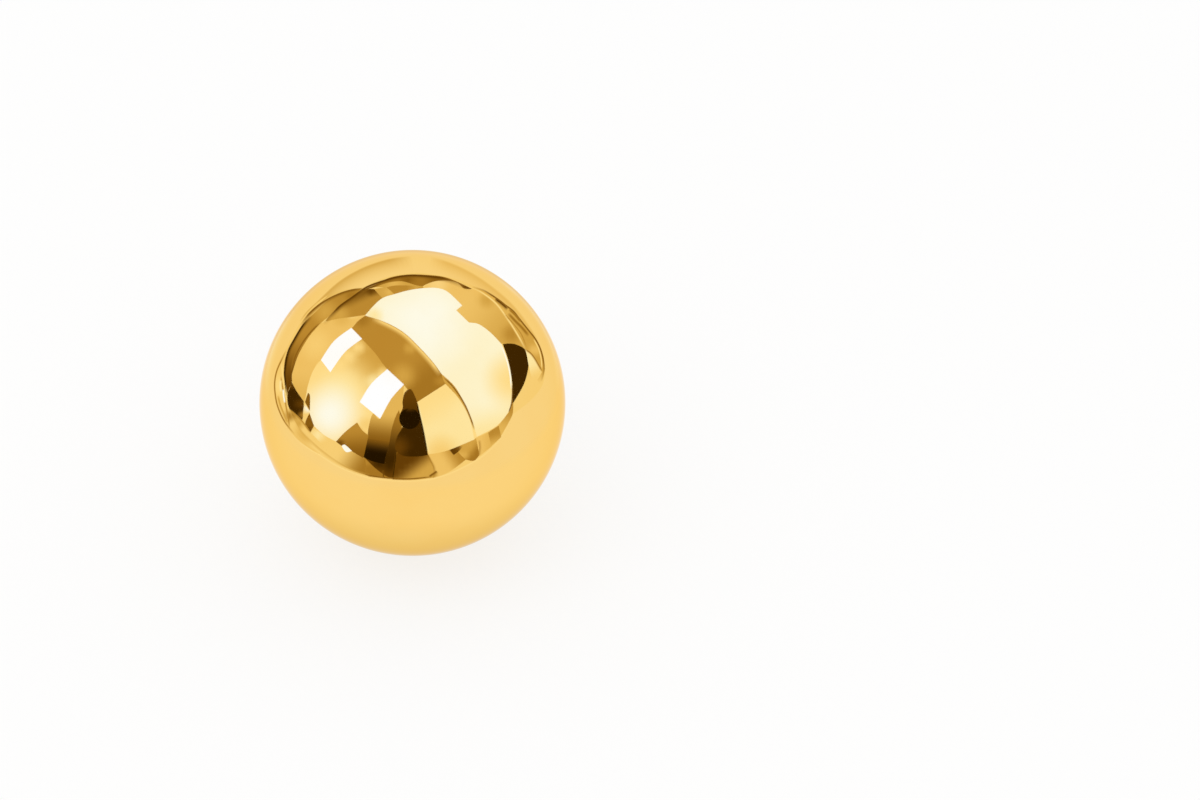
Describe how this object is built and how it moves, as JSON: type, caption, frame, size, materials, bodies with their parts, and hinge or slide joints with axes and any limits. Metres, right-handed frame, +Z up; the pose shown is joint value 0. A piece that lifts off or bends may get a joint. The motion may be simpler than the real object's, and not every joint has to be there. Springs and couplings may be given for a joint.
{
  "type": "ball stud earring",
  "caption": "Plain polished gold ball stud earring with a straight ear post and a butterfly friction back.",
  "frame": {"origin": "on the table under the stud, in the middle of its width and of its length", "axes": "+Z up; the stud lies at rest with the ball's front towards -Y and its post sloping down towards +Y"},
  "size_m": [0.012, 0.0204, 0.012],
  "materials": {
    "polished_gold": "mirror polished yellow gold",
    "back_gold": "bright rolled yellow gold strip"
  },
  "bodies": {
    "root": {"ball_and_post": "polished_gold", "butterfly_back": "back_gold"}
  },
  "joints": []
}
